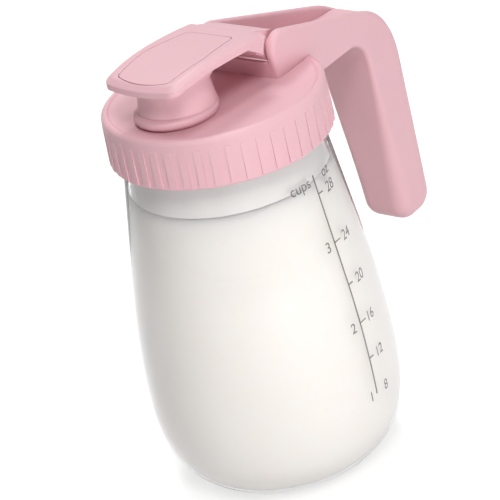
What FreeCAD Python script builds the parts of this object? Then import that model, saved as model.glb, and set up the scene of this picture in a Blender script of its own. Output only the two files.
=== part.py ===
"""Baby formula pitcher: a glass jar, a screw lid with a pouring spout, a fork handle and a flip lever.

Frame: millimetres, +Z up, +X towards the handle, so the spout lies towards -X.
The origin is on the jar's axis, in the plane that the jar stands on.
"""
import FreeCAD, Part
import os
import re
from collections import namedtuple
from math import acos, atan2, cos, pi, sin

import Sketcher
from FreeCAD import Vector

# ----------------------------------------------------------------------------
# Driving dimensions, in millimetres and degrees
# ----------------------------------------------------------------------------

SIZES = {
    # jar
    "belly_radius": (52.05, "largest outer radius of the jar"),
    "belly_height": (38.9, "height of the largest radius"),
    "foot_radius": (22.7, "radius of the flat that the jar stands on"),
    "heel_angle": (76, "turn of the heel arc before the flank arc takes over"),
    "shoulder_rise": (52.6, "height of the shoulder arc above the belly"),
    "neck_base_radius": (40.0, "outer radius where the shoulder ends"),
    "neck_base_height": (146.8, "height where the shoulder ends"),
    "neck_radius": (38.2, "outer radius of the neck"),
    "neck_step": (1.8, "height of the sloping step up to the neck"),
    "neck_length": (13.4, "length of the straight neck"),
    "glass_wall": (2.8, "thickness of the glass"),
    "glass_floor": (4.0, "thickness of the jar's floor"),
    "lip_round": (1.25, "rounding of both edges of the mouth"),
    # lid
    "collar_clearance": (3.65, "room for the threads between neck and collar"),
    "collar_wall": (2.6, "thickness of the collar under its ribs"),
    "collar_length": (20.1, "height of the collar, up to the deck"),
    "collar_edge": (0.6, "rounding of the collar's lower edge"),
    "rib_height": (0.6, "how far a rib stands proud at its lower end"),
    "rib_fade": (0.15, "how far a rib stands proud at its upper end"),
    "rib_width": (2.9, "width of a rib"),
    "rib_count": (46, "number of ribs round the collar"),
    "rib_gap": (0.6, "smooth strip below the ribs"),
    "rib_length": (15.8, "length of a rib"),
    "rib_root": (0.8, "how deep a rib is rooted in the collar"),
    "rim_rise": (0.6, "how far the rounded rim stands above the deck"),
    "rim_width": (2.6, "width of the rim's crown"),
    "rim_slope": (0.9, "width of the slope from the rim's crown down to the deck"),
    "rim_round": (2.2, "rounding of the rim's outer edge"),
    "rim_soften": (0.6, "rounding of the rim's two inner edges"),
    "deck_wall": (2.6, "thickness of the lid's flat top"),
    # gasket
    "gasket_gap": (0.1, "gap between the gasket and the mouth"),
    "gasket_play": (0.3, "gap round the gasket in the lid"),
    "gasket_height": (1.9, "thickness of the gasket"),
    "gasket_inside": (34.7, "inner radius of the gasket"),
    "seat_wall": (0.8, "thickness of the ring that centres the gasket"),
    "seat_depth": (2.8, "height of the ring that centres the gasket"),
    # spout
    "spout_offset": (19.5, "distance of the spout's axis from the jar's axis"),
    "spout_bore": (12.0, "radius of the pouring hole"),
    "spout_root": (15.6, "radius of the spout's tube where it leaves its foot"),
    "spout_lip": (14.2, "radius of the spout's top"),
    "spout_height": (16.0, "height of the spout above the deck"),
    "foot_shift": (1.2, "how far the spout's foot lies in front of the tube's axis"),
    "foot_bulge": (16.8, "radius of the cushion round the spout's foot"),
    "foot_tuck": (1.9, "how far the cushion draws in at the deck"),
    "foot_rise": (1.5, "height over which the cushion draws in"),
    "foot_height": (3.7, "height of the cushion's side"),
    "foot_fall": (1.0, "height of the cushion's sloping top"),
    "foot_round": (1.4, "rounding of the cushion's edges"),
    # lever
    "pivot_x": (22.4, "distance of the lever's hinge from the jar's axis"),
    "pivot_height": (11.9, "height of the lever's hinge above the deck"),
    "barrel_radius": (6.0, "radius of the lever's hinge barrel"),
    "root_turn": (26.0, "angle below level where the neck's underside meets the barrel"),
    "crest_turn": (72.0, "angle above level where the neck's top meets the barrel"),
    "trunnion_radius": (3.0, "radius of the two stub pins"),
    "trunnion_length": (1.9, "how far a stub pin reaches into its arm"),
    "trunnion_play": (0.06, "radial running clearance of a stub pin"),
    "barrel_play": (0.2, "least gap between the lever's neck and each arm"),
    "plate_front": (39.8, "distance of the lever's front edge from the jar's axis"),
    "plate_front_half": (18.4, "half of the plate's width at its front corners"),
    "plate_back_half": (20.6, "half of the plate's width at its back end"),
    "plate_corner": (5.0, "rounding of the plate's front corners"),
    "plate_bow": (78.0, "radius of the plate's gently curved front edge"),
    "plate_flank": (400.0, "radius of the plate's gently curved sides"),
    "plate_wall": (3.4, "thickness of the plate under its crown line"),
    "plate_edge": (19.8, "height of the crown line above the deck at the plate's front"),
    "plate_crown": (22.8, "height of the plate's crown above the deck"),
    "crown_x": (16.0, "distance of the crown from the jar's axis"),
    "bevel_width": (2.6, "width of the bevel round the plate's top"),
    "bevel_drop": (1.2, "how far that bevel falls"),
    "crest_round": (3.0, "rounding of the crest above the bevel"),
    "edge_round": (0.7, "rounding of the plate's outer edges"),
    "wing_reach": (11.2, "distance from the hinge to the end of the plate's side walls"),
    "wing_start": (3.3, "where the plate's side walls begin to deepen"),
    "wing_wall": (2.0, "thickness of the plate's side walls there"),
    "hollow_end": (13.5, "where the hollow under the plate ends"),
    "neck_top": (20.9, "height of the lever's neck above the deck"),
    "neck_x": (14.5, "where the neck's height is taken"),
    "panel_wall": (1.3, "thickness of the snap-in panel"),
    "panel_gap": (0.25, "gap round the snap-in panel"),
    "panel_front": (34.2, "distance of the panel's front corners from the jar's axis"),
    "panel_back": (6.0, "how far the panel reaches past the jar's axis"),
    "panel_bow": (32.0, "radius of the panel's curved front edge"),
    "panel_front_half": (13.0, "half of the panel's width at its front"),
    "panel_mid_half": (14.8, "half of the panel's width at the crown"),
    "panel_back_half": (11.5, "half of the panel's width at its back"),
    "panel_corner": (2.5, "rounding of the panel's corners"),
    "skirt_inside": (14.7, "inner radius of the ring that caps the spout"),
    "skirt_wall": (1.6, "thickness of the ring that caps the spout"),
    "skirt_lap": (0.2, "how far the ring laps down over the spout's top"),
    "seat_height": (17.6, "height above the deck of the face that the plug's flange seats on"),
    # plug
    "plug_gap": (0.3, "gap between the plug's flange and the spout's top"),
    "plug_flange": (14.3, "radius of the plug's flange"),
    "plug_play": (0.4, "radial gap between the plug and the pouring hole"),
    "plug_depth": (7.0, "how far the plug reaches into the pouring hole"),
    "plug_lead": (2.0, "bevel at the plug's tip"),
    "stem_radius": (3.1, "radius of the stem that holds the plug to the lever"),
    "stem_play": (0.1, "radial gap round the stem"),
    "stem_head": (5.0, "radius of the stem's head"),
    "stem_head_height": (0.8, "height of the stem's head"),
    # handle
    "arm_half": (19.5, "half of the width over both arms at the hinge"),
    "arm_taper": (5.03, "angle by which each arm leans in towards the grip"),
    "arm_wall": (4.0, "thickness of an arm"),
    "arm_round": (1.9, "rounding of the arms' outer edges"),
    "arm_inner_round": (1.4, "rounding of the arms' inner edges"),
    "grip_draft": (0.95, "angle by which the handle's sides draw in downwards"),
    "ear_x": (24.0, "distance of the ear's centre from the jar's axis"),
    "ear_height": (10.25, "height of the ear's centre above the deck"),
    "ear_radius": (7.5, "radius of the rounded front ends of the arms"),
    "ear_lean": (7.5, "angle by which the ear's front leans back towards the deck"),
    "arm_fall": (17.1, "angle at which the arms' top edge falls"),
    "arm_drop": (10.6, "depth of the arms' underside below the deck"),
    "foot_play": (0.05, "gap between the handle's foot and the lid's side"),
    "web_front": (17.3, "distance of the cross web's front face"),
    "web_wall": (2.0, "thickness of the cross web"),
    "web_height": (6.4, "height of the cross web above the deck"),
    "web_round": (0.7, "rounding of the cross web's upper edges"),
    "bend_corner_x": (102.5, "where the lines of the arms' top and the grip's back meet"),
    "bend_radius": (33.0, "outer radius of the bend"),
    "back_lean": (3.9, "angle by which the grip's back leans"),
    "inner_corner_x": (77.9, "where the lines of the arms' underside and the grip's front meet"),
    "inner_radius": (11.0, "inner radius of the bend"),
    "front_lean": (5.1, "angle by which the grip's front leans"),
    "grip_length": (91.0, "length of the grip below the arms' underside"),
    "grip_half": (11.7, "half of the grip's width"),
    "grip_corner": (6.5, "rounding of the grip's four long edges"),
    "grip_waist": (36.0, "depth below the arms' underside where the hollow's lean changes"),
    "grip_end_round": (9.0, "rounding of the grip's lower end, seen from the side"),
    "grip_wall": (2.8, "wall of the hollow grip"),
    "slot_end": (90.0, "where the slot between the arms ends"),
    "floor_wall": (4.5, "thickness of the floor between the arms"),
    "slot_corner": (3.0, "rounding of the slot's end corners"),
    # insert
    "insert_wall": (2.0, "thickness of the floor insert"),
    "insert_start": (50.0, "where the floor insert begins"),
    "insert_play": (0.15, "gap between the floor insert and the arms"),
}

DOCUMENT = FreeCAD.newDocument("baby_formula_pitcher")
SHEET = DOCUMENT.addObject("Spreadsheet::Sheet", "Sizes")
for row, (alias, (size, meaning)) in enumerate(SIZES.items(), start=1):
    SHEET.set(f"A{row}", str(size))
    SHEET.setAlias(f"A{row}", alias)
    SHEET.set(f"B{row}", alias.replace("_", " "))
    SHEET.set(f"C{row}", meaning)
DOCUMENT.recompute()


def sized(expression):
    """Return the expression with the sheet's name put before each size."""
    return re.sub(
        r"[a-z_]+", lambda word: f"Sizes.{word[0]}" if word[0] in SIZES else word[0], str(expression)
    )


def value(expression):
    """Return what an expression in the sheet's sizes comes to, as a plain number."""
    number = SHEET.evalExpression(sized(expression))
    return float(getattr(number, "Value", number))


# ----------------------------------------------------------------------------
# Sizes that follow from the driving ones
# ----------------------------------------------------------------------------

# The heel arc rises from the foot and passes, tangent, into the flank arc, which is upright at the belly.
HEEL_RADIUS = (
    "(((belly_radius - foot_radius) * cos(heel_angle) - belly_height * (1 - sin(heel_angle)))"
    " / (sin(heel_angle) + cos(heel_angle) - 1))"
)
FLANK_RADIUS = f"((belly_height - {HEEL_RADIUS} * (1 - cos(heel_angle))) / cos(heel_angle))"

# The gasket lies on the mouth, and the deck on the gasket.
MOUTH = "(neck_base_height + neck_step + neck_length)"
GASKET_UNDER = f"({MOUTH} + gasket_gap)"
DECK_UNDER = f"({GASKET_UNDER} + gasket_height)"
DECK = f"({DECK_UNDER} + deck_wall)"

COLLAR_BORE = "(neck_radius + collar_clearance)"
COLLAR_FACE = f"({COLLAR_BORE} + collar_wall)"
COLLAR_BOTTOM = f"({DECK} - collar_length)"
RIM_TOP = f"({DECK} + rim_rise)"
SPOUT_TOP = f"({DECK} + spout_height)"

PIVOT_Z = f"({DECK} + pivot_height)"
PLATE_CROWN = f"({DECK} + plate_crown)"
PLUG_SEAT = f"({DECK} + seat_height)"
EAR_Z = f"({DECK} + ear_height)"
ARM_UNDER = f"({DECK} - arm_drop)"
SLOT_FLOOR = f"({ARM_UNDER} + floor_wall)"
GRIP_BOTTOM = f"({ARM_UNDER} - grip_length)"
ARM_INNER = "(arm_half - arm_wall)"
# The arms' top edge touches the ear's circle and falls towards the grip.
TOP_X = "(ear_x + ear_radius * sin(arm_fall))"
TOP_Z = f"({EAR_Z} + ear_radius * cos(arm_fall))"
BEND_CORNER_Z = f"({TOP_Z} - (bend_corner_x - {TOP_X}) * tan(arm_fall))"


def arm_half_at(x):
    """Return the half width over both arms at a distance x from the jar's axis."""
    return f"(arm_half - ({x} - ear_x) * tan(arm_taper))"


# The neck swings back between the arms, which stand closer together behind the hinge.
NECK_HALF = f"({arm_half_at('(pivot_x + wing_reach)')} - arm_wall - barrel_play)"


def grip_back_at(height):
    """Return the distance of the grip's back at a height."""
    return f"(bend_corner_x + ({BEND_CORNER_Z} - {height}) * tan(back_lean))"


def grip_front_at(height):
    """Return the distance of the grip's front at a height."""
    return f"(inner_corner_x + ({ARM_UNDER} - {height}) * tan(front_lean))"


# ----------------------------------------------------------------------------
# Sketches and features
# ----------------------------------------------------------------------------

Spot = namedtuple("Spot", "across up round smooth free", defaults=(None, False, False))
Spot.__doc__ = """A corner of an outline.

round is the radius of a fillet at a corner between two lines; smooth makes the two edges tangent;
free leaves the first coordinate to the sketch's solver, which starts from the value given.
"""
Bow = namedtuple("Bow", "radius turn free", defaults=(1, False))
Bow.__doc__ = """An arc from the last corner to the next one.

turn is 1 for an arc that turns left and -1 for one that turns right; free leaves the radius to the solver.
"""


def new_body(label):
    """Add an empty body."""
    body = DOCUMENT.addObject("PartDesign::Body", label)
    body.Label = label
    return body


def new_sketch(body, name, plane_role, offsets=None):
    """Add a sketch on one of the body's origin planes, moved off it by named offsets."""
    sketch = body.newObject("Sketcher::SketchObject", name)
    plane = next(item for item in body.Origin.OriginFeatures if item.Role == plane_role)
    sketch.AttachmentSupport = [(plane, "")]
    sketch.MapMode = "FlatFace"
    for path, expression in (offsets or {}).items():
        if path == "Angle":
            sketch.AttachmentOffset = FreeCAD.Placement(Vector(), FreeCAD.Rotation(Vector(1, 0, 0), 1))
            sketch.setExpression("AttachmentOffset.Rotation.Angle", sized(expression))
        else:
            sketch.setExpression(f"AttachmentOffset.Base.{path}", sized(expression))
    return sketch


def constrain(sketch, kind, *parts, size=None):
    """Add a constraint, bound to an expression in the sheet's sizes when one is given."""
    if size is None:
        sketch.addConstraint(Sketcher.Constraint(kind, *parts))
        return
    index = sketch.addConstraint(Sketcher.Constraint(kind, *parts, value(size)))
    sketch.setExpression(f"Constraints[{index}]", sized(size))


def pin(sketch, geometry, vertex, spot):
    """Tie a vertex to the outline's expressions for its two coordinates."""
    if not spot.free:
        constrain(sketch, "DistanceX", -1, 1, geometry, vertex, size=spot.across)
    constrain(sketch, "DistanceY", -1, 1, geometry, vertex, size=spot.up)


def arc_between(start, end, radius, turn):
    """Return the arc of a radius from start to end that turns left (1) or right (-1)."""
    chord = end - start
    sagitta = (max(radius ** 2 - (chord.Length / 2) ** 2, 0)) ** 0.5
    normal = Vector(-chord.y, chord.x, 0).normalize()
    centre = (start + end) * 0.5 + normal * sagitta * turn
    first, last = (start, end) if turn > 0 else (end, start)
    angles = [atan2(point.y - centre.y, point.x - centre.x) for point in (first, last)]
    if angles[1] < angles[0]:
        angles[1] += 2 * pi
    return Part.ArcOfCircle(Part.Circle(centre, Vector(0, 0, 1), radius), *angles)


def outline(body, name, plane_role, *items, offsets=None):
    """Draw a closed, fully constrained outline of lines, arcs and rounded corners.

    items are Spots in order, with a Bow between two of them where the edge is an arc.
    """
    sketch = new_sketch(body, name, plane_role, offsets)
    spots = [item for item in items if isinstance(item, Spot)]
    bows = [None] * len(spots)
    for position, item in enumerate(items):
        if isinstance(item, Bow):
            before = sum(isinstance(earlier, Spot) for earlier in items[:position])
            bows[before - 1] = item
    points = [Vector(value(spot.across), value(spot.up), 0) for spot in spots]
    count = len(spots)
    starts, ends, fillets = list(points), points[1:] + points[:1], {}
    for index, spot in enumerate(spots):
        if spot.round is None:
            continue
        back = (points[index - 1] - points[index]).normalize()
        ahead = (points[(index + 1) % count] - points[index]).normalize()
        half = acos(max(-1, min(1, back.dot(ahead)))) / 2
        reach = value(spot.round) * cos(half) / sin(half)
        ends[index - 1] = points[index] + back * reach
        starts[index] = points[index] + ahead * reach
        turn = 1 if back.cross(ahead).z < 0 else -1
        fillets[index] = arc_between(ends[index - 1], starts[index], value(spot.round), turn), turn
    edges = []
    for index, bow in enumerate(bows):
        if bow:
            shape = arc_between(starts[index], ends[index], value(bow.radius), bow.turn)
        else:
            shape = Part.LineSegment(starts[index], ends[index])
        geometry = sketch.addGeometry(shape)
        first, last = (2, 1) if bow and bow.turn < 0 else (1, 2)
        edges.append((geometry, first, last))
        if bow and not bow.free:
            constrain(sketch, "Radius", geometry, size=bow.radius)
    for index, spot in enumerate(spots):
        before, after = edges[index - 1], edges[index]
        joint = (before[0], before[2], after[0], after[1])
        if spot.round is None:
            constrain(sketch, "Tangent" if spot.smooth else "Coincident", *joint)
            pin(sketch, after[0], after[1], spot)
            continue
        arc, turn = fillets[index]
        corner = sketch.addGeometry(arc)
        first, last = (1, 2) if turn > 0 else (2, 1)
        apex = sketch.addGeometry(Part.Point(points[index]), True)
        pin(sketch, apex, 1, spot)
        constrain(sketch, "PointOnObject", apex, 1, before[0])
        constrain(sketch, "PointOnObject", apex, 1, after[0])
        constrain(sketch, "Tangent", before[0], before[2], corner, first)
        constrain(sketch, "Tangent", corner, last, after[0], after[1])
        constrain(sketch, "Radius", corner, size=spot.round)
    return sketch


def circle(body, name, plane_role, radius, across="0", up="0", offsets=None):
    """Draw one circle."""
    sketch = new_sketch(body, name, plane_role, offsets)
    centre = Vector(value(across), value(up), 0)
    geometry = sketch.addGeometry(Part.Circle(centre, Vector(0, 0, 1), value(radius)))
    pin(sketch, geometry, 3, Spot(across, up))
    constrain(sketch, "Radius", geometry, size=radius)
    return sketch


def feature(body, kind, name, sketch, **settings):
    """Add a feature made from a sketch; text settings in SIZES' words become expressions."""
    made = body.newObject(f"PartDesign::{kind}", name)
    made.Profile = sketch
    for key, setting in settings.items():
        if key == "Length":
            made.setExpression(key, sized(setting))
        else:
            setattr(made, key, setting)
    DOCUMENT.recompute()
    return made


# How close two measures of an edge have to be, and the same across the steps of an arched edge.
NEAR, ROUGHLY = 0.01, 0.05


def upright(edge):
    """Tell whether an edge is a straight upright one."""
    first, last = edge.Vertexes[0].Point, edge.Vertexes[-1].Point
    return (first - last).Length > NEAR and abs(first.x - last.x) < NEAR and abs(first.y - last.y) < NEAR


def middle_of(edge):
    """Return the middle of an edge."""
    return edge.valueAt((edge.FirstParameter + edge.LastParameter) / 2)


def turned(body, kind, name, sketch):
    """Turn a sketch fully round its own upright axis."""
    return feature(body, kind, name, sketch, ReferenceAxis=(sketch, ["V_Axis"]), Angle=360)


def soften(body, name, kind, sizes, chosen):
    """Fillet or chamfer the edges of the body's last feature for which chosen is true."""
    base = body.Tip
    edges = [f"Edge{index}" for index, edge in enumerate(base.Shape.Edges, start=1) if chosen(edge)]
    if not edges:
        raise ValueError(f"{body.Label}: no edge for {name}")
    made = body.newObject(f"PartDesign::{kind}", name)
    made.Base = (base, edges)
    made.setExpression("Radius" if kind == "Fillet" else "Size", sized(sizes))
    DOCUMENT.recompute()
    return made


# ----------------------------------------------------------------------------
# Glass jar
# ----------------------------------------------------------------------------

def shoulder(inset):
    """Return the shoulder arc's start values: where it ends, and its radius."""
    ratio = f"((belly_radius - neck_base_radius) / (2 * (neck_base_height - belly_height) - shoulder_rise))"
    end = f"(belly_radius - {inset} - shoulder_rise * {ratio})"
    radius = f"(shoulder_rise / sin(2 * atan({ratio})))"
    return end, radius


def heel_point(inset):
    """Return the point where the heel arc meets the flank arc, on a surface set in by a distance."""
    reach = f"({HEEL_RADIUS} - {inset})"
    return (
        f"(foot_radius + {reach} * sin(heel_angle))",
        f"({HEEL_RADIUS} - {reach} * cos(heel_angle))",
    )


def glass_jar():
    """Build the jar: a round-bellied glass with a straight neck."""
    body = new_body("glass_jar")
    outer_end, outer_radius = shoulder("0")
    inner_end, inner_radius = shoulder("glass_wall")
    inner_heel = f"({HEEL_RADIUS} - glass_wall)"
    floor_reach = f"sqrt({inner_heel} ^ 2 - ({HEEL_RADIUS} - glass_floor) ^ 2)"
    profile = outline(
        body, "jar_profile", "XZ_Plane",
        Spot("0", "0"),
        Spot("foot_radius", "0"),
        Bow(HEEL_RADIUS),
        Spot(*heel_point("0")),
        Bow(FLANK_RADIUS),
        Spot("belly_radius", "belly_height", smooth=True),
        Bow(outer_radius, free=True),
        Spot(outer_end, "belly_height + shoulder_rise", smooth=True, free=True),
        Spot("neck_base_radius", "neck_base_height"),
        Spot("neck_radius", "neck_base_height + neck_step"),
        Spot("neck_radius", MOUTH, "lip_round"),
        Spot("neck_radius - glass_wall", MOUTH, "lip_round"),
        Spot("neck_radius - glass_wall", "neck_base_height + neck_step"),
        Spot("neck_base_radius - glass_wall", "neck_base_height"),
        Spot(inner_end, "belly_height + shoulder_rise", smooth=True, free=True),
        Bow(inner_radius, turn=-1, free=True),
        Spot("belly_radius - glass_wall", "belly_height", smooth=True),
        Bow(f"({FLANK_RADIUS} - glass_wall)", turn=-1),
        Spot(*heel_point("glass_wall")),
        Bow(inner_heel, turn=-1),
        Spot(f"foot_radius + {floor_reach}", "glass_floor"),
        Spot("0", "glass_floor"),
    )
    turned(body, "Revolution", "jar", profile)
    return body


# ----------------------------------------------------------------------------
# Lid
# ----------------------------------------------------------------------------

def rim_line(grow):
    """Return the spots of the lid's rim, grown by a distance, from its outer face in to the deck."""
    crown = f"({COLLAR_FACE} - rim_width)"
    return (
        Spot(f"{COLLAR_FACE} + {grow}", f"{RIM_TOP} + {grow}", f"rim_round + {grow}"),
        Spot(crown, f"{RIM_TOP} + {grow}", "rim_soften"),
        Spot(f"{crown} - rim_slope", f"{DECK} + {grow}", "rim_soften"),
        Spot("0", f"{DECK} + {grow}"),
    )


def lid_shell():
    """Build the lid: a ribbed collar, a deck inside a rounded rim, and a spout, moulded in one."""
    body = new_body("lid_shell")
    seat_outer = "(gasket_inside - gasket_play)"
    seat_inner = f"({seat_outer} - seat_wall)"
    profile = outline(
        body, "cap_profile", "XZ_Plane",
        Spot(COLLAR_BORE, COLLAR_BOTTOM),
        Spot(COLLAR_FACE, COLLAR_BOTTOM, "collar_edge"),
        *rim_line("0"),
        Spot("0", DECK_UNDER),
        Spot(seat_inner, DECK_UNDER),
        Spot(seat_inner, f"{DECK_UNDER} - seat_depth"),
        Spot(seat_outer, f"{DECK_UNDER} - seat_depth"),
        Spot(seat_outer, DECK_UNDER),
        Spot(COLLAR_BORE, DECK_UNDER),
    )
    turned(body, "Revolution", "cap", profile)

    rib_low = f"({COLLAR_BOTTOM} + rib_gap)"
    rib_high = f"({rib_low} + rib_length)"
    rib_profile = outline(
        body, "rib_profile", "XZ_Plane",
        Spot(f"{COLLAR_FACE} - rib_root", rib_low),
        Spot(f"{COLLAR_FACE} + rib_height", f"{rib_low} + rib_height"),
        Spot(f"{COLLAR_FACE} + rib_fade", f"{rib_high} - rib_fade"),
        Spot(f"{COLLAR_FACE} - rib_root", rib_high),
    )
    rib = feature(body, "Pad", "rib", rib_profile, SideType="Symmetric", Length="rib_width")
    ribs = body.newObject("PartDesign::PolarPattern", "ribs")
    ribs.Originals = [rib]
    axis = next(item for item in body.Origin.OriginFeatures if item.Role == "Z_Axis")
    ribs.Axis = (axis, [""])
    ribs.Angle = 360
    ribs.setExpression("Occurrences", sized("rib_count"))
    body.Tip = ribs
    DOCUMENT.recompute()

    foot_side = f"({DECK} + foot_height)"
    foot_top = f"({foot_side} + foot_fall)"
    foot_profile = outline(
        body, "spout_foot_profile", "XZ_Plane",
        Spot("0", DECK_UNDER),
        Spot("foot_bulge - foot_tuck", DECK_UNDER),
        Spot("foot_bulge - foot_tuck", DECK),
        Spot("foot_bulge", f"{DECK} + foot_rise", "foot_round"),
        Spot("foot_bulge", foot_side, "foot_round"),
        Spot("foot_bulge - foot_tuck", foot_top),
        Spot("0", foot_top),
        offsets={"x": "-(spout_offset + foot_shift)"},
    )
    turned(body, "Revolution", "spout_foot", foot_profile)
    rise, narrowing = f"({SPOUT_TOP} - {foot_top})", "(spout_root - spout_lip)"
    spout_profile = outline(
        body, "spout_profile", "XZ_Plane",
        Spot("0", DECK_UNDER),
        Spot("spout_root", DECK_UNDER),
        Spot("spout_root", foot_top),
        Bow(f"(({rise} ^ 2 + {narrowing} ^ 2) / (2 * {narrowing}))", turn=-1),
        Spot("spout_lip", SPOUT_TOP),
        Spot("0", SPOUT_TOP),
        offsets={"x": "-spout_offset"},
    )
    turned(body, "Revolution", "spout", spout_profile)
    hole = circle(body, "bore_outline", "XY_Plane", "spout_bore", across="-spout_offset",
                  offsets={"z": SPOUT_TOP})
    feature(body, "Pocket", "bore", hole, Length="spout_height + 2 * deck_wall")

    def at_lip(edge):
        """Tell whether an edge is one of the two round the spout's top."""
        box = edge.BoundBox
        flat_top = abs(box.ZMin - value(SPOUT_TOP)) < NEAR and box.ZLength < NEAR
        return flat_top and box.XLength > value("spout_bore")

    soften(body, "lip_edges", "Fillet", "(spout_lip - spout_bore) / 4", at_lip)
    return body


def lid_gasket():
    """Build the flat sealing ring that the mouth presses on."""
    body = new_body("lid_gasket")
    outer = f"({COLLAR_BORE} - gasket_play)"
    profile = outline(
        body, "gasket_profile", "XZ_Plane",
        Spot("gasket_inside", GASKET_UNDER),
        Spot(outer, GASKET_UNDER),
        Spot(outer, DECK_UNDER),
        Spot("gasket_inside", DECK_UNDER),
    )
    turned(body, "Revolution", "gasket", profile)
    return body


# ----------------------------------------------------------------------------
# Handle
# ----------------------------------------------------------------------------

def station(body, name, inner, outer, half, corner):
    """Draw a rounded rectangle across the grip, from its front face to its back.

    inner and outer are (x, z) expressions of the two ends of the section's centre line.
    """
    (inner_x, inner_z), (outer_x, outer_z) = inner, outer
    depth = f"sqrt(({outer_x} - {inner_x}) ^ 2 + ({outer_z} - {inner_z}) ^ 2)"
    return outline(
        body, name, "YZ_Plane",
        Spot(f"-({half})", "0", corner),
        Spot(half, "0", corner),
        Spot(half, depth, corner),
        Spot(f"-({half})", depth, corner),
        offsets={"y": inner_z, "z": inner_x, "Angle": f"atan2({outer_x} - {inner_x}; {outer_z} - {inner_z})"},
    )


def handle_block():
    """Build the handle as one solid with sharp edges: the side outline between two drafted side planes."""
    body = new_body("handle_block")
    front_x, front_z = "(ear_x - ear_radius * cos(ear_lean))", f"({EAR_Z} - ear_radius * sin(ear_lean))"
    side = outline(
        body, "handle_profile", "XZ_Plane",
        Spot(f"{front_x} + ({front_z} - {ARM_UNDER}) * tan(ear_lean)", ARM_UNDER),
        Spot(front_x, front_z),
        Bow("ear_radius", turn=-1),
        Spot(TOP_X, TOP_Z),
        Spot("bend_corner_x", BEND_CORNER_Z, "bend_radius"),
        Spot(grip_back_at(GRIP_BOTTOM), GRIP_BOTTOM, "grip_end_round"),
        Spot(grip_front_at(GRIP_BOTTOM), GRIP_BOTTOM, "grip_end_round"),
        Spot("inner_corner_x", ARM_UNDER, "inner_radius"),
    )
    feature(body, "Pad", "handle_slab", side, SideType="Symmetric", Length="4 * arm_half")
    ahead, behind = "(ear_x - 2 * ear_radius)", "(1.5 * bend_corner_x)"
    for name, sign, lean in (("left", "", "-"), ("right", "-", "")):
        taper = outline(
            body, f"{name}_taper", "XY_Plane",
            Spot(ahead, f"{sign}{arm_half_at(ahead)}"),
            Spot(behind, f"{sign}{arm_half_at(behind)}"),
            Spot(behind, f"{sign}(5 * arm_half)"),
            Spot(ahead, f"{sign}(5 * arm_half)"),
            offsets={"z": EAR_Z, "Angle": f"{lean}grip_draft"},
        )
        feature(body, "Pocket", f"{name}_side", taper, Type="ThroughAll", SideType="Symmetric")
    return body


def softened_handle(block):
    """Round the handle's long edges: tight along the arms, full round the grip, passing over in the bend."""
    tight, full = value("arm_round"), value("grip_corner")
    under, foot_x = value(ARM_UNDER), value(TOP_X)
    radii = []
    for index, edge in enumerate(block.Shape.Edges, start=1):
        ends = [edge.valueAt(edge.LastParameter), edge.valueAt(edge.FirstParameter)]
        high, near = max(end.z for end in ends), min(end.x for end in ends)
        if ends[0].y * ends[1].y < 0:
            continue
        along_arm = near < foot_x + NEAR
        in_bend = not along_arm and high > under - NEAR
        if in_bend:
            first_is_high = ends[0].z > ends[1].z
            radii.append((index, tight, full) if first_is_high else (index, full, tight))
        else:
            size = tight if along_arm else full
            radii.append((index, size, size))
    softened = DOCUMENT.addObject("Part::Fillet", "softened_handle")
    softened.Base = block
    softened.Edges = radii
    DOCUMENT.recompute()
    return softened


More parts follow.
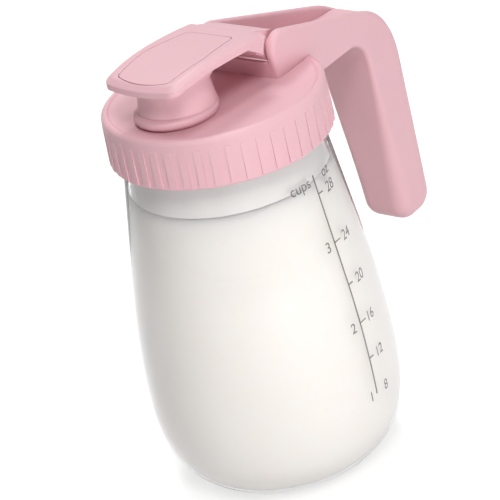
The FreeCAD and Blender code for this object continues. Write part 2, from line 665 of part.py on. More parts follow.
def handle_shell():
    """Build the fork handle: two arms with hinge ears, their floor and cross web, and a hollow grip."""
    body = new_body("handle_shell")
    body.BaseFeature = softened_handle(handle_block())
    DOCUMENT.recompute()

    slot = slot_outline(body, "slot_outline", "(ear_x - 2 * ear_radius)", "0", {"z": SLOT_FLOOR})
    feature(body, "Pocket", "slot", slot, Type="ThroughAll", Reversed=True)

    def on_slot_rim(edge):
        """Tell whether an edge runs along the mouth of the slot, on an arm's inner side or round its end."""
        middle = middle_of(edge)
        inner = value(f"{arm_half_at(f'({middle.x})')} - arm_wall")
        return edge.Length > NEAR and middle.z > value(SLOT_FLOOR) + NEAR and not upright(edge) and \
            (abs(abs(middle.y) - inner) < ROUGHLY or middle.x > value("slot_end - slot_corner"))  and \
            abs(middle.y) < inner + ROUGHLY and middle.x < value("slot_end") + ROUGHLY

    soften(body, "slot_rim", "Fillet", "arm_inner_round", on_slot_rim)

    cavity = []
    heights = (f"({SLOT_FLOOR} + insert_wall)", f"({ARM_UNDER} - grip_waist)",
               f"({GRIP_BOTTOM} + 2 * grip_wall)")
    for index, height in enumerate(heights):
        front, back = f"({grip_front_at(height)} + grip_wall)", f"({grip_back_at(height)} - grip_wall)"
        if index == 0:
            back = "(slot_end - slot_corner)"
        half = "(grip_half - grip_wall)"
        cavity.append(station(body, f"cavity_section_{index}", (front, height), (back, height), half,
                              "(grip_corner - grip_wall)"))
    feature(body, "SubtractiveLoft", "cavity", cavity[0], Sections=cavity[1:], Ruled=True)

    ribs_face = f"({COLLAR_FACE} + rib_height + foot_play)"
    ribs_end = f"({COLLAR_BOTTOM} + rib_gap + rib_length)"
    lid_side = outline(
        body, "foot_cut", "XZ_Plane",
        Spot("0", GRIP_BOTTOM),
        Spot(ribs_face, GRIP_BOTTOM),
        Spot(ribs_face, ribs_end),
        Spot(f"{COLLAR_FACE} + foot_play", f"{ribs_end} + rib_height"),
        *rim_line("foot_play"),
    )
    turned(body, "Groove", "foot", lid_side)

    web_half = f"({ARM_INNER} + arm_wall / 2)"
    web = outline(
        body, "web_profile", "XZ_Plane",
        Spot("web_front", f"{DECK} + foot_play"),
        Spot("web_front", f"{DECK} + web_height", "web_round"),
        Spot("web_front + web_wall", f"{DECK} + web_height", "web_round"),
        Spot("web_front + web_wall", f"{DECK} + foot_play"),
    )
    feature(body, "Pad", "web", web, SideType="Symmetric", Length=f"2 * {web_half}")

    socket = circle(body, "socket_outline", "XZ_Plane", "trunnion_radius + trunnion_play",
                    across="pivot_x", up=PIVOT_Z)
    depth = f"{ARM_INNER} + trunnion_length + 4 * trunnion_play"
    feature(body, "Pocket", "sockets", socket, SideType="Symmetric", Length=f"2 * ({depth})")
    return body


def slot_outline(body, name, start, inset, offsets):
    """Draw the tapered outline of the space between the arms, set in by a distance."""
    back = f"(slot_end - {inset})"
    half_start = f"({arm_half_at(f'({start})')} - arm_wall - {inset})"
    half_back = f"({arm_half_at(back)} - arm_wall - {inset})"
    return outline(
        body, name, "XY_Plane",
        Spot(start, f"-{half_start}"),
        Spot(back, f"-{half_back}", f"slot_corner - {inset}"),
        Spot(back, half_back, f"slot_corner - {inset}"),
        Spot(start, half_start),
        offsets=offsets,
    )


def handle_insert():
    """Build the floor piece between the arms that closes the hollow grip."""
    body = new_body("handle_insert")
    plate = slot_outline(body, "insert_outline", "insert_start", "insert_play", {"z": SLOT_FLOOR})
    feature(body, "Pad", "plate", plate, Length="insert_wall")
    return body


# ----------------------------------------------------------------------------
# Lever
# ----------------------------------------------------------------------------

# The crown line is two arcs, level where they meet at the crown: down to the front edge, and down to the neck.
FRONT_CROWN_RADIUS = (
    "(((plate_front - crown_x) ^ 2 + (plate_crown - plate_edge) ^ 2) / (2 * (plate_crown - plate_edge)))"
)
BACK_CROWN_RADIUS = (
    "(((neck_x + crown_x) ^ 2 + (plate_crown - neck_top) ^ 2) / (2 * (plate_crown - neck_top)))"
)


def crown_at(x, drop="0"):
    """Return the height of the crown line behind the crown, lowered by a distance."""
    radius = f"({BACK_CROWN_RADIUS} - {drop})"
    return f"({PLATE_CROWN} - {drop} - {radius} + sqrt({radius} ^ 2 - ({x} + crown_x) ^ 2))"


def front_crown_at(x, drop="0"):
    """Return the height of the crown line in front of the crown, at a distance x in front of the jar's axis."""
    radius = f"({FRONT_CROWN_RADIUS} - {drop})"
    return f"({PLATE_CROWN} - {drop} - {radius} + sqrt({radius} ^ 2 - ({x} - crown_x) ^ 2))"


def crown_line(drop, front, back):
    """Return the crown line's spots and arcs, lowered by a distance, from front to back."""
    return (
        Spot(f"-{front}", front_crown_at(front, drop)),
        Bow(f"({FRONT_CROWN_RADIUS} - {drop})", turn=-1),
        Spot("-crown_x", f"{PLATE_CROWN} - {drop}"),
        Bow(f"({BACK_CROWN_RADIUS} - {drop})", turn=-1),
        Spot(back, crown_at(back, drop)),
    )


def reverse(line):
    """Return a line of spots and arcs the other way round."""
    return tuple(Bow(item.radius, -item.turn) if isinstance(item, Bow) else item for item in reversed(line))


def common_of(label, first, second):
    """Return what two bodies have in common."""
    common = DOCUMENT.addObject("Part::Common", label)
    common.Base, common.Tool = first, second
    common.Label = label
    DOCUMENT.recompute()
    return common


def panel_column(label, grow):
    """Build an upright column with the panel's outline, grown by a gap, and rounded corners."""
    column = new_body(f"{label}_column")
    front, back = f"(panel_front + {grow})", f"(panel_back + {grow})"
    shape = outline(
        column, f"{label}_outline", "XY_Plane",
        Spot(f"-{front}", f"-(panel_front_half + {grow})"),
        Spot("-crown_x", f"-(panel_mid_half + {grow})"),
        Spot(back, f"-(panel_back_half + {grow})"),
        Spot(back, f"panel_back_half + {grow}"),
        Spot("-crown_x", f"panel_mid_half + {grow}"),
        Spot(f"-{front}", f"panel_front_half + {grow}"),
        Bow(f"(panel_bow + {grow})"),
        offsets={"z": PLUG_SEAT},
    )
    feature(column, "Pad", f"{label}_prism", shape, Length="plate_crown")
    soften(column, f"{label}_corners", "Fillet", f"panel_corner + {grow}",
           lambda edge: upright(edge) and abs(edge.Vertexes[0].X + value("crown_x")) > NEAR)
    return column


def panel_solid(label, drop, grow):
    """Build an arched sheet under the crown line, within the panel's outline grown by a gap."""
    sheet = new_body(f"{label}_sheet")
    front, back = f"(panel_front + {PANEL_BULGE} + panel_corner)", "(panel_back + panel_corner)"
    top = "0" if grow == "0" else "(-panel_wall)"
    profile = outline(
        sheet, f"{label}_profile", "XZ_Plane",
        *crown_line(top, front, back), *reverse(crown_line(drop, front, back)),
    )
    feature(sheet, "Pad", f"{label}_band", profile, SideType="Symmetric", Length="4 * panel_mid_half")
    return common_of(label, sheet, panel_column(label, grow))


# How far the panel's front edge bulges in front of its corners.
PANEL_BULGE = "(panel_bow - sqrt(panel_bow ^ 2 - panel_front_half ^ 2))"


def lever_blank():
    """Build the lever's arched plate, neck and barrel: its side outline within its outline from above."""
    side_body = new_body("lever_side")
    root_x = "(pivot_x - barrel_radius * cos(root_turn))"
    root_z = f"({PIVOT_Z} - barrel_radius * sin(root_turn))"
    crest_x = "(pivot_x + barrel_radius * cos(crest_turn))"
    crest_z = f"({PIVOT_Z} + barrel_radius * sin(crest_turn))"
    side = outline(
        side_body, "lever_profile", "XZ_Plane",
        *crown_line("0", "plate_front", "neck_x"),
        Spot(crest_x, crest_z),
        Bow("barrel_radius", turn=-1),
        Spot("pivot_x", f"{PIVOT_Z} - barrel_radius"),
        Bow("barrel_radius", turn=-1),
        Spot(root_x, root_z),
        *reverse(crown_line("plate_wall", "plate_front", "wing_start")),
    )
    feature(side_body, "Pad", "lever_slab", side, SideType="Symmetric", Length="4 * plate_back_half")

    plan_body = new_body("lever_plan")
    corner_x = "(plate_front - plate_bow + sqrt(plate_bow ^ 2 - plate_front_half ^ 2))"
    far = "(pivot_x + 2 * barrel_radius)"
    plan = outline(
        plan_body, "lever_outline", "XY_Plane",
        Spot(f"-{corner_x}", "-plate_front_half"),
        Bow("plate_flank"),
        Spot("neck_x", "-plate_back_half"),
        Spot("neck_x", f"-{NECK_HALF}"),
        Spot(far, f"-{NECK_HALF}"),
        Spot(far, NECK_HALF),
        Spot("neck_x", NECK_HALF),
        Spot("neck_x", "plate_back_half"),
        Bow("plate_flank"),
        Spot(f"-{corner_x}", "plate_front_half"),
        Bow("plate_bow"),
        offsets={"z": DECK},
    )
    feature(plan_body, "Pad", "lever_column", plan, Length="2 * plate_crown")
    return common_of("lever_blank", side_body, plan_body)


def crown_height(x):
    """Return the height of the crown line at a number x, as a number."""
    return value(crown_at(f"({x})") if x > -value("crown_x") else front_crown_at(f"({-x})"))


def flip_lever():
    """Build the lever: an arched plate with a bevelled rim, its neck, the hinge barrel and the cap ring."""
    body = new_body("lever_body")
    body.BaseFeature = lever_blank()
    DOCUMENT.recompute()
    corner_start = -value("plate_front - plate_corner")
    soften(body, "front_corners", "Fillet", "plate_corner",
           lambda edge: upright(edge) and edge.Vertexes[0].X < corner_start)

    def round_plate(edge, drop):
        """Tell whether an edge goes round the plate, at a depth below the crown line."""
        middle = middle_of(edge)
        around = abs(middle.y) > value("panel_mid_half") or middle.x < corner_start
        return around and middle.x < value("neck_x") - NEAR and edge.Length > NEAR and \
            abs(middle.z - crown_height(middle.x) + drop) < ROUGHLY

    bevel = soften(body, "bevel", "Chamfer", "bevel_width", lambda edge: round_plate(edge, 0))
    bevel.ChamferType, bevel.FlipDirection = "Two distances", True
    bevel.setExpression("Size2", sized("bevel_drop"))
    DOCUMENT.recompute()
    soften(body, "crest", "Fillet", "crest_round", lambda edge: round_plate(edge, 0))
    soften(body, "outer_edge", "Fillet", "edge_round", lambda edge: round_plate(edge, value("bevel_drop")))

    for name, sign in (("left", ""), ("right", "-")):
        wing = circle(body, f"{name}_wing_outline", "XZ_Plane", "wing_reach", across="pivot_x", up=PIVOT_Z,
                      offsets={"z": f"{sign}{NECK_HALF}"})
        feature(body, "Pocket", f"{name}_wing", wing, Type="ThroughAll", Reversed=not sign)

    low = f"({PIVOT_Z} - barrel_radius)"
    hollow = outline(
        body, "hollow_profile", "XZ_Plane",
        Spot("wing_start", low),
        Spot("hollow_end", low),
        Spot("hollow_end", crown_at("hollow_end", "plate_wall")),
        Bow(f"({BACK_CROWN_RADIUS} - plate_wall)"),
        Spot("wing_start", crown_at("wing_start", "plate_wall")),
    )
    feature(body, "Pocket", "hollow", hollow, SideType="Symmetric", Length="2 * (plate_back_half - wing_wall)")

    ring_low = f"({SPOUT_TOP} - skirt_lap)"
    boss = circle(body, "boss_outline", "XY_Plane", "skirt_inside + skirt_wall", across="-spout_offset",
                  offsets={"z": ring_low})
    feature(body, "Pad", "boss", boss, Length="plate_edge - spout_height + skirt_lap")
    cap = circle(body, "cap_outline", "XY_Plane", "skirt_inside", across="-spout_offset",
                 offsets={"z": PLUG_SEAT})
    feature(body, "Pocket", "cap_recess", cap, Length="2 * plate_wall")

    pin_outline = circle(body, "trunnion_outline", "XZ_Plane", "trunnion_radius", across="pivot_x", up=PIVOT_Z)
    feature(body, "Pad", "trunnions", pin_outline, SideType="Symmetric",
            Length=f"2 * ({ARM_INNER} + trunnion_length)")

    stem = circle(body, "stem_outline", "XY_Plane", "stem_radius + stem_play", across="-spout_offset",
                  offsets={"z": PLUG_SEAT})
    feature(body, "Pocket", "stem_hole", stem, Type="ThroughAll", Reversed=True)
    head = circle(body, "head_outline", "XY_Plane", "stem_head + stem_play", across="-spout_offset",
                  offsets={"z": HEAD_UNDER})
    feature(body, "Pocket", "head_recess", head, Type="ThroughAll", Reversed=True)

    recess = panel_solid("panel_recess", "(panel_wall + panel_gap)", "panel_gap")
    cut = DOCUMENT.addObject("Part::Cut", "flip_lever")
    cut.Base, cut.Tool = body, recess
    cut.Label = "flip_lever"
    return cut


# The stem's head lies in a recess under the panel's arch, at its lowest over the head.
ARCH_OVER_HEAD = front_crown_at("(spout_offset + stem_head)", "(panel_wall + panel_gap)")
HEAD_UNDER = f"({ARCH_OVER_HEAD} - stem_head_height - stem_play)"


def lever_panel():
    """Build the panel that snaps into the lever's top."""
    return panel_solid("lever_panel", "panel_wall", "0")


def spout_plug():
    """Build the soft plug that closes the spout, held to the lever by a headed stem."""
    body = new_body("spout_plug")
    flange_low = f"({SPOUT_TOP} + plug_gap)"
    tip = f"({SPOUT_TOP} - plug_depth)"
    body_radius = "(spout_bore - plug_play)"
    profile = outline(
        body, "plug_profile", "XZ_Plane",
        Spot("0", tip),
        Spot(f"{body_radius} - plug_lead", tip),
        Spot(body_radius, f"{tip} + plug_lead"),
        Spot(body_radius, flange_low),
        Spot("plug_flange", flange_low),
        Spot("plug_flange", PLUG_SEAT),
        Spot("stem_radius", PLUG_SEAT),
        Spot("stem_radius", HEAD_UNDER),
        Spot("stem_head", HEAD_UNDER),
        Spot("stem_head", f"{HEAD_UNDER} + stem_head_height"),
        Spot("0", f"{HEAD_UNDER} + stem_head_height"),
        offsets={"x": "-spout_offset"},
    )
    turned(body, "Revolution", "plug", profile)
    return body


# ----------------------------------------------------------------------------
# Assembly
# ----------------------------------------------------------------------------

def main():
    """Build every piece, check it and write it to parts/."""
    pieces = [
        glass_jar(), lid_shell(), lid_gasket(), handle_shell(), handle_insert(),
        flip_lever(), lever_panel(), spout_plug(),
    ]
    DOCUMENT.recompute()
    for item in DOCUMENT.Objects:
        if "Invalid" in item.State or "Error" in item.State:
            raise RuntimeError(f"{item.Label} failed: {item.State}")
        if item.isDerivedFrom("Sketcher::SketchObject") and not item.FullyConstrained:
            raise RuntimeError(f"{item.Label} is not fully constrained")
    for piece in pieces:
        shape = piece.Shape
        if shape.isNull() or not shape.isValid() or len(shape.Solids) != 1:
            raise RuntimeError(f"{piece.Label}: shape is not one valid solid")
        print(f"{piece.Label}: {shape.Volume / 1000:.2f} cm3, {len(shape.Faces)} faces")
    os.makedirs("parts", exist_ok=True)
    for piece in pieces:
        piece.Shape.exportStep(os.path.join("parts", f"{piece.Label}.step"))


main()
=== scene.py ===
"""Baby formula pitcher: a glass jar of formula, a pink screw lid with a spout, a fork handle, a flip lever.

Sizes of pieces are millimetres in the part's frame: +Z up, +X towards the handle, spout at -X. The studio's
sizes are metres unless they say otherwise.
"""
import logging
from dataclasses import dataclass, field
from enum import Enum
from math import atan, cos, degrees, pi, radians, sin, sqrt, tan

import bmesh
import bpy
from mathutils import Matrix, Quaternion, Vector


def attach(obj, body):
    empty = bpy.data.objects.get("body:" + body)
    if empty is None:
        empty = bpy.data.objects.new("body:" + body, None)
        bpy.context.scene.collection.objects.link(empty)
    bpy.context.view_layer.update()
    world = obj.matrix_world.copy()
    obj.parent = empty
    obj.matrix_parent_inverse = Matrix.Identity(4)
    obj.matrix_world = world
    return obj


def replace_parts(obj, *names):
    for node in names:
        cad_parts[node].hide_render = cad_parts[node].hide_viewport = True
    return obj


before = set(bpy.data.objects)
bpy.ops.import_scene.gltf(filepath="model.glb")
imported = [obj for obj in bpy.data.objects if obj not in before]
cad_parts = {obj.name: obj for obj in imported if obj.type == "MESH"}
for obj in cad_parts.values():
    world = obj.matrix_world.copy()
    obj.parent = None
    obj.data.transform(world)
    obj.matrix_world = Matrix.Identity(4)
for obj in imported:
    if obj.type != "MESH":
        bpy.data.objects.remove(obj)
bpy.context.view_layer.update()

MM = 0.001
LOG = logging.getLogger("pitcher")


class Body(Enum):
    """The moving bodies that the pieces made here ride on."""

    JAR = "jar"
    LID = "lid"


class Slot(Enum):
    """Names of two of the record's material slots."""

    GLASS = "glass"
    PLASTIC = "lid_plastic"


# ----------------------------------------------------------------------------
# Materials
# ----------------------------------------------------------------------------


def linear(hex_colour: str) -> tuple[float, float, float, float]:
    """Turn an sRGB hex colour into linear red, green, blue and alpha.

    Args:
        hex_colour: six hex digits, such as "E8B9C2".

    Returns:
        The linear colour, opaque.
    """
    parts = [int(hex_colour[at:at + 2], 16) / 255 for at in (0, 2, 4)]
    return (*[part / 12.92 if part <= 0.04045 else ((part + 0.055) / 1.055) ** 2.4 for part in parts], 1.0)


def add(tree: bpy.types.NodeTree, kind: str, settings: dict | None = None,
        **inputs: object) -> bpy.types.Node:
    """Add a node with its settings and its inputs.

    Args:
        tree: the node tree that gets the node.
        kind: the node's type, such as "ShaderNodeTexNoise".
        settings: attributes to set on the node itself.
        inputs: values or output sockets by input name, with _ for a space, or i0, i1 by position.

    Returns:
        The new node.
    """
    made = tree.nodes.new(kind)
    for name, setting in (settings or {}).items():
        setattr(made, name, setting)
    for name, given in inputs.items():
        by_place = name[0] == "i" and name[1:].isdigit()
        socket = made.inputs[int(name[1:]) if by_place else name.replace("_", " ")]
        if isinstance(given, bpy.types.NodeSocket):
            tree.links.new(given, socket)
        else:
            socket.default_value = given
    return made


def empty_material(name: str) -> tuple[bpy.types.Material, bpy.types.NodeTree, bpy.types.Node]:
    """Make a node material with only its output.

    Args:
        name: the material's name.

    Returns:
        The material, its node tree and its output node.
    """
    material = bpy.data.materials.new(name)
    material.use_nodes = True
    tree = material.node_tree
    tree.nodes.clear()
    return material, tree, add(tree, "ShaderNodeOutputMaterial")


@dataclass(frozen=True)
class MouldedPolypropylene:
    """Injection-moulded polypropylene from a fine spark-eroded tool: milky, with an even satin grain."""

    name: str
    colour: str
    deep_colour: str
    grain: float = 0.35
    grain_depth: float = 0.012
    grain_strength: float = 0.35
    flow: float = 18.0
    roughness: float = 0.46
    roughness_play: float = 0.03
    soak: float = 0.03
    soak_depth: float = 1.5

    def build(self) -> bpy.types.Material:
        """Build the material: the grain breaks the gloss, and slow flow clouds vary the tone.

        Returns:
            The material.
        """
        material, tree, output = empty_material(self.name)
        place = add(tree, "ShaderNodeTexCoord").outputs["Object"]
        clouds = add(tree, "ShaderNodeTexNoise", None, Vector=place, Scale=1 / (self.flow * MM), Detail=3.0)
        tone = add(tree, "ShaderNodeMix", {"data_type": "RGBA"}, Factor=clouds.outputs["Fac"],
                   i6=linear(self.deep_colour), i7=linear(self.colour))
        grain = add(tree, "ShaderNodeTexNoise", None, Vector=place, Scale=1 / (self.grain * MM), Detail=2.0)
        rough = add(tree, "ShaderNodeMapRange", None, Value=clouds.outputs["Fac"],
                    i3=self.roughness - self.roughness_play, i4=self.roughness + self.roughness_play)
        bump = add(tree, "ShaderNodeBump", None, Strength=self.grain_strength,
                   Distance=self.grain_depth * MM, Height=grain.outputs["Fac"])
        shader = add(tree, "ShaderNodeBsdfPrincipled", None, Base_Color=tone.outputs[2],
                     Roughness=rough.outputs["Result"], IOR=1.49, Normal=bump.outputs["Normal"],
                     Subsurface_Weight=self.soak, Subsurface_Scale=self.soak_depth * MM)
        tree.links.new(shader.outputs["BSDF"], output.inputs["Surface"])
        return material


@dataclass(frozen=True)
class Borosilicate:
    """Blown borosilicate glass: clear, glossy, with the faint waviness of a blown wall.

    The wall bends light only a little, so it reads as a thin clear band, and the coat gives the surface the
    full mirror of glass.
    """

    name: str = "borosilicate_blown"
    tint: str = "FDFDFD"
    wave: float = 26.0
    wave_depth: float = 0.012
    wave_strength: float = 0.5
    wall_index: float = 1.04
    surface_index: float = 1.47

    def build(self) -> bpy.types.Material:
        """Build the material: lamp light passes straight through it, so what the jar holds is evenly lit.

        Returns:
            The material.
        """
        material, tree, output = empty_material(self.name)
        place = add(tree, "ShaderNodeTexCoord").outputs["Object"]
        wave = add(tree, "ShaderNodeTexNoise", None, Vector=place, Scale=1 / (self.wave * MM), Detail=1.0)
        bump = add(tree, "ShaderNodeBump", None, Strength=self.wave_strength,
                   Distance=self.wave_depth * MM, Height=wave.outputs["Fac"])
        glass = add(tree, "ShaderNodeBsdfPrincipled", None, Base_Color=linear(self.tint), Roughness=0.0,
                    IOR=self.wall_index, Transmission_Weight=1.0, Coat_Weight=1.0, Coat_Roughness=0.0,
                    Coat_IOR=self.surface_index, Normal=bump.outputs["Normal"])
        clear = add(tree, "ShaderNodeBsdfTransparent", None, Color=linear(self.tint))
        path = add(tree, "ShaderNodeLightPath")
        passing = add(tree, "ShaderNodeMath", {"operation": "MAXIMUM"},
                      i0=path.outputs["Is Shadow Ray"], i1=path.outputs["Is Diffuse Ray"])
        mixed = add(tree, "ShaderNodeMixShader", None, i0=passing.outputs[0], i1=glass.outputs["BSDF"],
                    i2=clear.outputs["BSDF"])
        tree.links.new(mixed.outputs["Shader"], output.inputs["Surface"])
        return material


@dataclass(frozen=True)
class LiquidFormula:
    """Mixed infant formula: an opaque, faintly creamy white liquid that light soaks into."""

    name: str = "infant_formula_liquid"
    colour: str = "F3EFEB"
    warm_colour: str = "F2ECE7"
    cloud: float = 40.0
    roughness: float = 0.25
    soak_depth: float = 12.0
    soak_shares: tuple[float, float, float] = (1.0, 0.95, 0.9)

    def build(self) -> bpy.types.Material:
        """Build the material: the soak softens the shading, and slow clouds keep it from a dead white.

        Returns:
            The material.
        """
        material, tree, output = empty_material(self.name)
        place = add(tree, "ShaderNodeTexCoord").outputs["Object"]
        clouds = add(tree, "ShaderNodeTexNoise", None, Vector=place, Scale=1 / (self.cloud * MM), Detail=2.0)
        tone = add(tree, "ShaderNodeMix", {"data_type": "RGBA"}, Factor=clouds.outputs["Fac"],
                   i6=linear(self.warm_colour), i7=linear(self.colour))
        shader = add(tree, "ShaderNodeBsdfPrincipled", None, Base_Color=tone.outputs[2],
                     Roughness=self.roughness, IOR=1.35, Subsurface_Weight=1.0,
                     Subsurface_Radius=self.soak_shares, Subsurface_Scale=self.soak_depth * MM)
        tree.links.new(shader.outputs["BSDF"], output.inputs["Surface"])
        return material


@dataclass(frozen=True)
class ClingingFilm:
    """The thin milky film that swirled formula leaves on the glass above its level, denser near the level."""

    name: str = "infant_formula_film"
    colour: str = "F3F0EE"
    dense: float = 0.88
    thin: float = 0.7
    low: float = 131.5
    high: float = 150.0
    streak: float = 9.0
    streak_squash: float = 0.25
    patchiness: float = 0.05

    def build(self) -> bpy.types.Material:
        """Build the material: the film thins with height, and slow streaks show where it ran down.

        Returns:
            The material.
        """
        material, tree, output = empty_material(self.name)
        place = add(tree, "ShaderNodeTexCoord").outputs["Object"]
        apart = add(tree, "ShaderNodeSeparateXYZ", None, Vector=place)
        cover = add(tree, "ShaderNodeMapRange", None, Value=apart.outputs["Z"], i1=self.low * MM,
                    i2=self.high * MM, i3=self.dense, i4=self.thin)
        drawn_out = add(tree, "ShaderNodeMapping", None, Vector=place, Scale=(1.0, 1.0, self.streak_squash))
        streaks = add(tree, "ShaderNodeTexNoise", None, Vector=drawn_out.outputs[0],
                      Scale=1 / (self.streak * MM), Detail=2.0)
        patchy = add(tree, "ShaderNodeMapRange", None, Value=streaks.outputs["Fac"],
                     i3=-self.patchiness, i4=self.patchiness)
        cover = add(tree, "ShaderNodeMath", {"operation": "ADD", "use_clamp": True},
                    i0=cover.outputs[0], i1=patchy.outputs[0])
        shader = add(tree, "ShaderNodeBsdfPrincipled", None, Base_Color=linear(self.colour), Roughness=0.4,
                     IOR=1.35, Alpha=cover.outputs[0])
        tree.links.new(shader.outputs["BSDF"], output.inputs["Surface"])
        return material


@dataclass(frozen=True)
class SiliconeRubber:
    """Compression-moulded food silicone: translucent white, satin, with a slightly dusty tone."""

    name: str = "silicone_moulded"
    colour: str = "EFE9E6"
    shade_colour: str = "E2DAD7"
    dust: float = 2.5
    dust_depth: float = 0.01
    soak: float = 0.35
    soak_depth: float = 3.0

    def build(self) -> bpy.types.Material:
        """Build the material: satin gloss over soaked-in light gives the rubbery look.

        Returns:
            The material.
        """
        material, tree, output = empty_material(self.name)
        place = add(tree, "ShaderNodeTexCoord").outputs["Object"]
        dust = add(tree, "ShaderNodeTexNoise", None, Vector=place, Scale=1 / (self.dust * MM), Detail=3.0)
        tone = add(tree, "ShaderNodeMix", {"data_type": "RGBA"}, Factor=dust.outputs["Fac"],
                   i6=linear(self.shade_colour), i7=linear(self.colour))
        bump = add(tree, "ShaderNodeBump", None, Strength=0.2, Distance=self.dust_depth * MM,
                   Height=dust.outputs["Fac"])
        shader = add(tree, "ShaderNodeBsdfPrincipled", None, Base_Color=tone.outputs[2], Roughness=0.5,
                     IOR=1.41, Subsurface_Weight=self.soak, Subsurface_Scale=self.soak_depth * MM,
                     Normal=bump.outputs["Normal"])
        tree.links.new(shader.outputs["BSDF"], output.inputs["Surface"])
        return material


@dataclass(frozen=True)
class PrintedInk:
    """Screen-printed ceramic ink, fired on: matt grey with the slight unevenness of a printed film."""

    name: str = "ceramic_ink_screen_printed"
    colour: str = "6F6E6C"
    thin_colour: str = "7D7C7A"
    mottle: float = 0.8

    def build(self) -> bpy.types.Material:
        """Build the material: a fine mottle shows where the ink is thinner.

        Returns:
            The material.
        """
        material, tree, output = empty_material(self.name)
        place = add(tree, "ShaderNodeTexCoord").outputs["Object"]
        film = add(tree, "ShaderNodeTexNoise", None, Vector=place, Scale=1 / (self.mottle * MM), Detail=2.0)
        tone = add(tree, "ShaderNodeMix", {"data_type": "RGBA"}, Factor=film.outputs["Fac"],
                   i6=linear(self.colour), i7=linear(self.thin_colour))
        shader = add(tree, "ShaderNodeBsdfPrincipled", None, Base_Color=tone.outputs[2], Roughness=0.6)
        tree.links.new(shader.outputs["BSDF"], output.inputs["Surface"])
        return material


@dataclass(frozen=True)
class StudioPaper:
    """Seamless white studio paper: reads as white to the eye and keeps the object's shadow."""

    name: str = "studio_paper_white"
    colour: str = "C4C4C4"
    lift: float = 0.62

    def build(self) -> bpy.types.Material:
        """Build the material: light of its own, seen only by eye, mirror and glass, whitens the paper.

        Returns:
            The material.
        """
        material, tree, output = empty_material(self.name)
        path = add(tree, "ShaderNodeLightPath")
        seen = add(tree, "ShaderNodeMath", {"operation": "MAXIMUM"},
                   i0=path.outputs["Is Camera Ray"], i1=path.outputs["Is Glossy Ray"])
        seen = add(tree, "ShaderNodeMath", {"operation": "MAXIMUM"},
                   i0=seen.outputs[0], i1=path.outputs["Is Transmission Ray"])
        lifted = add(tree, "ShaderNodeMath", {"operation": "MULTIPLY"}, i0=seen.outputs[0], i1=self.lift)
        paper = add(tree, "ShaderNodeBsdfDiffuse", None, Color=linear(self.colour))
        glow = add(tree, "ShaderNodeEmission", None, Strength=lifted.outputs[0])
        both = add(tree, "ShaderNodeAddShader", None, i0=paper.outputs[0], i1=glow.outputs[0])
        tree.links.new(both.outputs[0], output.inputs["Surface"])
        return material


@dataclass(frozen=True)
class Finishes:
    """The finished materials, each built once."""

    pink: bpy.types.Material = field(
        default_factory=MouldedPolypropylene("polypropylene_moulded_pink", "E5B7BF", "E1B2BB").build)
    glass: bpy.types.Material = field(default_factory=Borosilicate().build)
    formula: bpy.types.Material = field(default_factory=LiquidFormula().build)
    film: bpy.types.Material = field(default_factory=ClingingFilm().build)
    silicone: bpy.types.Material = field(default_factory=SiliconeRubber().build)
    ink: bpy.types.Material = field(default_factory=PrintedInk().build)
    paper: bpy.types.Material = field(default_factory=StudioPaper().build)


# ----------------------------------------------------------------------------
# Shaping
# ----------------------------------------------------------------------------


class Pen:
    """Draws a profile as a wire in the X-Z plane, in millimetres, from corner to corner."""

    def __init__(self, mesh: bmesh.types.BMesh, across: float, up: float) -> None:
        """Set the pen down at a point.

        Args:
            mesh: the mesh that gets the wire.
            across: the point's distance along X.
            up: the point's height.
        """
        self.mesh = mesh
        self.tip = mesh.verts.new((across, 0.0, up))
        self.drawn = [self.tip]
        self.corners: list[tuple[bmesh.types.BMVert, float]] = []

    def line(self, across: float, up: float, rounding: float = 0.0) -> "Pen":
        """Draw a straight line.

        Args:
            across: the end's distance along X.
            up: the end's height.
            rounding: radius that the corner at the line's end gets.

        Returns:
            The pen.
        """
        self.tip = bmesh.ops.extrude_vert_indiv(self.mesh, verts=[self.tip])["verts"][0]
        self.tip.co = (across, 0.0, up)
        self.drawn.append(self.tip)
        if rounding:
            self.corners.append((self.tip, rounding))
        return self

    def arc(self, centre: tuple[float, float], turn: float, steps: int) -> "Pen":
        """Draw an arc by spinning the pen's tip.

        Args:
            centre: the arc's centre, across and up.
            turn: angle in degrees, positive for a turn from +X towards +Z.
            steps: number of segments.

        Returns:
            The pen.
        """
        spun = bmesh.ops.spin(self.mesh, geom=[self.tip], cent=(centre[0], 0.0, centre[1]), axis=(0, 1, 0),
                              angle=-radians(turn), steps=steps, use_merge=False, use_duplicate=False)
        before = self.tip
        self.tip = next(item for item in spun["geom_last"] if isinstance(item, bmesh.types.BMVert))
        self.drawn.extend([before, self.tip])
        return self

    def round_corners(self, segments: int = 5) -> None:
        """Round the corners that were given a radius.

        Args:
            segments: number of segments in each round.
        """
        for vert, radius in self.corners:
            arms = [(edge.other_vert(vert).co - vert.co).normalized() for edge in vert.link_edges]
            reach = radius / tan(arms[0].angle(arms[1]) / 2)
            bmesh.ops.bevel(self.mesh, geom=[vert], offset=reach, offset_type="OFFSET", segments=segments,
                            profile=0.5, affect="VERTICES", material=-1)
        self.corners.clear()


def turn_solid(mesh: bmesh.types.BMesh, steps: int) -> None:
    """Spin the whole wire into a surface of revolution about the jar's axis.

    Args:
        mesh: the mesh that holds the wire.
        steps: number of segments round.
    """
    bmesh.ops.spin(mesh, geom=mesh.verts[:] + mesh.edges[:], cent=(0, 0, 0), axis=(0, 0, 1),
                   angle=2 * pi, steps=steps, use_merge=True, use_duplicate=False)
    bmesh.ops.remove_doubles(mesh, verts=mesh.verts, dist=0.0005)
    bmesh.ops.recalc_face_normals(mesh, faces=mesh.faces)


